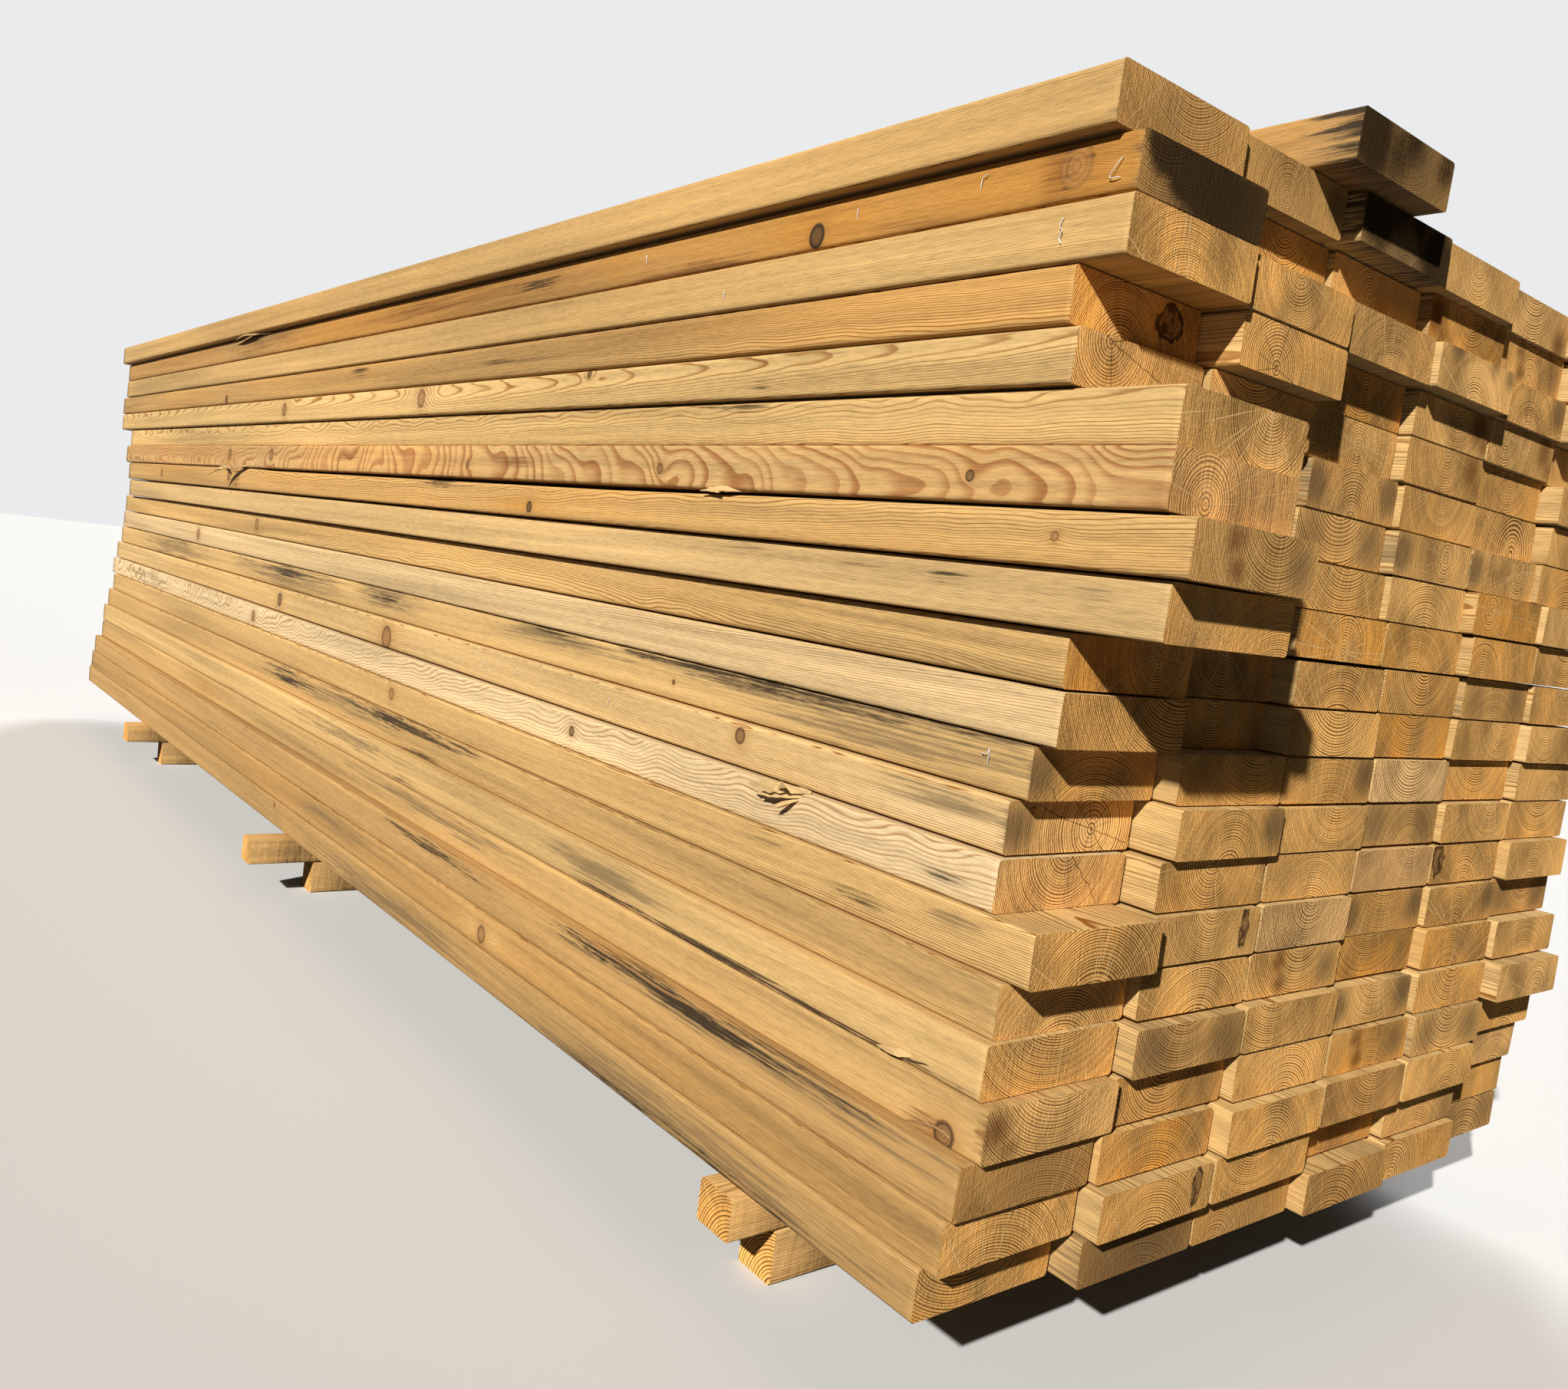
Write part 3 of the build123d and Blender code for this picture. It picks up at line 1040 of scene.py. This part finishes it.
def add_joined(name, parts, material):
    """One object made of several closed skins."""
    points, faces = [], []
    for part_points, part_faces in parts:
        faces += [[len(points) + i for i in face] for face in part_faces]
        points += part_points
    mesh = bpy.data.meshes.new(name)
    mesh.from_pydata(points, [], faces)
    mesh.materials.append(material)
    mesh.update()
    piece = add_object(name, mesh)
    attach(piece, "root")
    return piece


def on_front(board, along, up, out):
    """A point beside the front face of a board."""
    return Vector((NEAR_PLANE - along * MM, board.low.y - out * MM, board.centre.z + up * MM))


def add_staples(fronts):
    """The staples, as one object."""
    parts = []
    for layer, along, up, shape in STAPLES:
        spine = [on_front(fronts[layer], along + a * STAPLE_SIZE, up + u * STAPLE_SIZE, out)
                 for a, u, out in STAPLE_SHAPES[shape]]
        parts.append(wire(smoothed(spine, 4), STAPLE_RADIUS))
    add_joined("staples", parts, staple_material())


def add_splinters(fronts):
    """The splinters and bark, with numbers for the wood's material at each point."""
    r = random.Random(SEED)
    parts, darkness = [], []
    for layer, dark, width, spine in SPLINTERS:
        spine = [on_front(fronts[layer], *place) for place in spine]
        parts.append(splinter(spine, width * MM, SPLINTER_THICKNESS, r))
        darkness += [dark] * len(parts[-1][0])
    piece = add_joined("splinters", parts, board_side)
    dark = np.array(darkness)
    place = np.array([vertex.co for vertex in piece.data.vertices])
    plain = np.zeros((len(dark), 3))
    store(piece.data, {
        "grain": place - SPLINTER_HEART,
        "shift": plain,
        "look": plain + SPLINTER_LOOK,
        "tint": plain + SPLINTER_TINT,
        "wear_and_shade": np.stack([plain[:, 0], dark * 1.4, (dark > 0.9) * 0.9], 1),
        "knot": plain,
        "knot_look": plain,
    })


def boards_of_layer(node):
    """The lowest and highest corner of each board of a layer, read from its CAD node."""
    low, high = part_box(node)
    pitch = (high.y - low.y + BOARD_GAP) / COLUMNS
    corners = np.array([v.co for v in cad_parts[node].data.vertices])
    for column in range(COLUMNS):
        front = low.y + column * pitch
        back = front + pitch - BOARD_GAP
        own = corners[(corners[:, 1] > front - MM) & (corners[:, 1] < back + MM)]
        yield own.min(0), own.max(0)


# How far the stains on an end go into the stick
END_MARK_DEPTH = 16 * MM


def read_marks(text):
    """The marks of a text: the kind of each, and its numbers."""
    marks = [mark.split() for mark in text.split(", ")] if text else []
    return [(kind, *map(float, numbers)) for kind, *numbers in marks]


def end_marks(stick):
    """The stains on a stick's end, which its words name. They go a little way in."""
    for word in stick.words:
        for kind, across, up, radius, strength in read_marks(END_MARKS.get(word, "")):
            spot = (across * MM, up * MM, END_MARK_DEPTH, radius * MM)
            stick.marks.append((kind, 0.0, *spot, strength))


def dress_front(stick, layer):
    """What the photographed narrow face of a front board shows."""
    stick.side_tone, stick.side_orange, marks = FRONTS[layer]
    stick.stations, stick.rows = FRONT_STATIONS, FRONT_ROWS
    stick.flat_columns, stick.fine_to = FRONT_PARTS, FINE_TO
    face = -stick.half_width
    own_end = stick.high.x - NEAR_PLANE
    for kind, along, up, length, height, strength in read_marks(marks):
        along = along * MM + own_end
        stick.marks.append((kind, along, face, up * MM, length * MM, height * MM, strength))
    for knot_layer, along, up, radius, is_dead in FRONT_KNOTS:
        if knot_layer == layer + 1:
            size = radius * FRONT_KNOT_SIZE * MM
            stick.knots.append((along * MM + own_end, face, up * MM, size, is_dead))


# Knots and stains of the faces that only other views show: places along the board in m, how
# far from the middle of a wide and a narrow face in mm, and their sizes in mm
KNOTS_ALONG, STAINS_ALONG = (0.15, 2.9), (0.1, 2.9)
OFF_WIDE, OFF_NARROW = (-55, 55), (-12, 12)
KNOT_RADII, STAIN_RADII = (5, 15), (5, 18)
STAIN_LENGTHS, STAIN_STRENGTHS = (0.1, 0.6), (0.4, 0.9)
OTHER_STATIONS = 50


def random_spot(r, across, up):
    """A random place on a face, which is a wide one where up isn't 0."""
    if up:
        return r.uniform(*OFF_WIDE) * MM, up
    return across, r.uniform(*OFF_NARROW) * MM


def dress_plain(stick, faces):
    """Some knots and stains on the long faces of a board that other views show."""
    r = stick.random
    stick.stations = OTHER_STATIONS
    stick.side_tone = stick.tone * 0.5 + r.uniform(-0.2, 0.3)
    stick.side_orange = stick.orange * 0.4 + r.uniform(-0.1, 0.3)
    for across, up in faces:
        for _ in range(r.randint(1, 3)):
            side, height = random_spot(r, across, up)
            along, radius = r.uniform(*KNOTS_ALONG), r.uniform(*KNOT_RADII) * MM
            stick.knots.append((along, side, height, radius, r.random()))
        for _ in range(r.randint(0, 2)):
            side, height = random_spot(r, across, up)
            kind = r.choice(["grey", "mould", "brown"])
            along, length = r.uniform(*STAINS_ALONG), r.uniform(*STAIN_LENGTHS)
            radius, strength = r.uniform(*STAIN_RADII) * MM, r.uniform(*STAIN_STRENGTHS)
            stick.marks.append((kind, along, side, height, length, radius, strength))


board_side = side_material("board_side", rough=False)
board_end = end_material("board_end", rough=False)
bearer_side = side_material("bearer_side", rough=True)
bearer_end = end_material("bearer_end", rough=True)

number = 0
fronts = {}
for layer in range(LAYERS):
    node = f"layer_{LAYERS - layer:02d}"
    for column, (low, high) in enumerate(boards_of_layer(node)):
        number += 1
        name = f"board_{LAYERS - layer:02d}_{column + 1}"
        board = Stick(name, node, "board", low, high, ENDS[layer][column], number)
        if column == 0:
            fronts[layer + 1] = board
            dress_front(board, layer)
            board.gap_above = GAPS_ABOVE[layer] * MM
            if layer + 1 == WIDE_GAP_LAYER:
                board.gap_profile = WIDE_GAP
        faces = []
        if column == COLUMNS - 1:
            faces.append((board.half_width, 0.0))
        if layer == 0:
            faces.append((0.0, board.half_height))
        if layer == LAYERS - 1:
            faces.append((0.0, -board.half_height))
        if faces and column > 0:
            dress_plain(board, faces)
        end_marks(board)
        add_stick(board, board_side, board_end)

add_staples(fronts)
add_splinters(fronts)

low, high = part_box("loose_top_board")
number += 1
loose = Stick("loose_board", "loose_top_board", "board", low, high, LOOSE_BOARD_END, number)
dress_plain(loose, [(0.0, loose.half_height), (-loose.half_width, 0.0)])
loose.side_tone = LOOSE_BOARD_TONE
end_marks(loose)
add_stick(loose, board_side, board_end)

for place in ("near", "middle", "far"):
    for level in ("lower", "upper"):
        number += 1
        node = f"{place}_{level}_bearer"
        low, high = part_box(node)
        name = f"{node}_stick"
        bearer = Stick(name, node, "bearer", low, high, BEARER_END, number, turned=True)
        bearer.side_tone, bearer.side_orange = BEARER_TONE, BEARER_ORANGE
        bearer.gap_above, bearer.bow = BEARER_GAP, 0.0
        add_stick(bearer, bearer_side, bearer_end)


# Floor: pale to look at, and a darker grey to the light that it throws back
FLOOR_SIZE = 40.0
FLOOR_SEEN = colour(0.60, 0.60, 0.595)
FLOOR_BOUNCE = colour(0.02, 0.02, 0.02)
FLOOR_ROUGHNESS = 0.9


def seen_directly(tree):
    """1 for what the camera sees, also in glossy and clear things, and 0 for other light."""
    path = tree.nodes.new("ShaderNodeLightPath")
    shown = path.outputs["Is Camera Ray"]
    for kind in ("Is Glossy Ray", "Is Transmission Ray"):
        either = tree.nodes.new("ShaderNodeMath")
        either.operation = "MAXIMUM"
        tree.links.new(shown, either.inputs[0])
        tree.links.new(path.outputs[kind], either.inputs[1])
        shown = either.outputs[0]
    return shown


def floor_material():
    s = Shader("floor")
    seen = Value(s, seen_directly(s.tree))
    s.put("Base Color", s.mix(seen, FLOOR_BOUNCE, FLOOR_SEEN))
    s.put("Roughness", FLOOR_ROUGHNESS)
    return s.material


bpy.ops.mesh.primitive_plane_add(size=FLOOR_SIZE)
floor = bpy.context.object
floor.name = "floor"
floor.data.materials.append(floor_material())

# Light: a crisp key lamp from above the camera's left shoulder, a weaker and broader lamp from
# behind, and a sky that is pale to look at. Directions point to a lamp, angles are in degrees
KEY_FROM = Vector((0.350, -0.770, 0.535))
KEY_STRENGTH = 5.8
KEY_ANGLE = 1.5
KEY_TINT = (1.0, 0.97, 0.92)
BACK_FROM = Vector((-0.60, 0.62, 0.42))
BACK_STRENGTH = 3.2
BACK_ANGLE = 25
BACK_TINT = (1.0, 1.0, 1.0)
SKY_FILL = 0.012
SKY_SEEN = colour(0.82, 0.83, 0.84)


def add_lamp(name, shines_from, strength, angle, tint):
    lamp = bpy.data.lights.new(name, "SUN")
    lamp.energy = strength
    lamp.angle = math.radians(angle)
    lamp.color = tint
    lamp_object = add_object(name, lamp)
    lamp_object.rotation_mode = "QUATERNION"
    lamp_object.rotation_quaternion = shines_from.to_track_quat("Z", "Y")


add_lamp("key", KEY_FROM, KEY_STRENGTH, KEY_ANGLE, KEY_TINT)
add_lamp("back", BACK_FROM, BACK_STRENGTH, BACK_ANGLE, BACK_TINT)

world = bpy.data.worlds.new("sky")
bpy.context.scene.world = world
world.use_nodes = True
nodes, links = world.node_tree.nodes, world.node_tree.links
background = nodes["Background"]
background.inputs["Color"].default_value = colour(1.0, 1.0, 1.0)
background.inputs["Strength"].default_value = SKY_FILL
seen = nodes.new("ShaderNodeBackground")
seen.inputs["Color"].default_value = SKY_SEEN
choose = nodes.new("ShaderNodeMixShader")
links.new(seen_directly(world.node_tree), choose.inputs[0])
links.new(background.outputs[0], choose.inputs[1])
links.new(seen.outputs[0], choose.inputs[2])
links.new(choose.outputs[0], nodes["World Output"].inputs["Surface"])

# Camera, at the photograph's place beside the near ends
CAMERA_PLACE = Vector((2.0368, -1.0597, 0.5768))
CAMERA_RIGHT = Vector((0.60916, 0.78257, 0.12846))
CAMERA_DOWN = Vector((0.15238, 0.04346, -0.98737))
CAMERA_FORWARD = Vector((-0.77827, 0.62104, -0.09277))
LENS = 29.16
SENSOR_WIDTH = 36.0
CLIP_START = 0.01
camera = bpy.data.cameras.new("camera")
camera.lens = LENS
camera.sensor_width = SENSOR_WIDTH
camera.clip_start = CLIP_START
camera_object = add_object("camera", camera)
turn = Matrix((CAMERA_RIGHT, -CAMERA_DOWN, -CAMERA_FORWARD)).transposed().to_4x4()
camera_object.matrix_world = Matrix.Translation(CAMERA_PLACE) @ turn
bpy.context.scene.camera = camera_object

bpy.context.scene.view_settings.view_transform = "Standard"
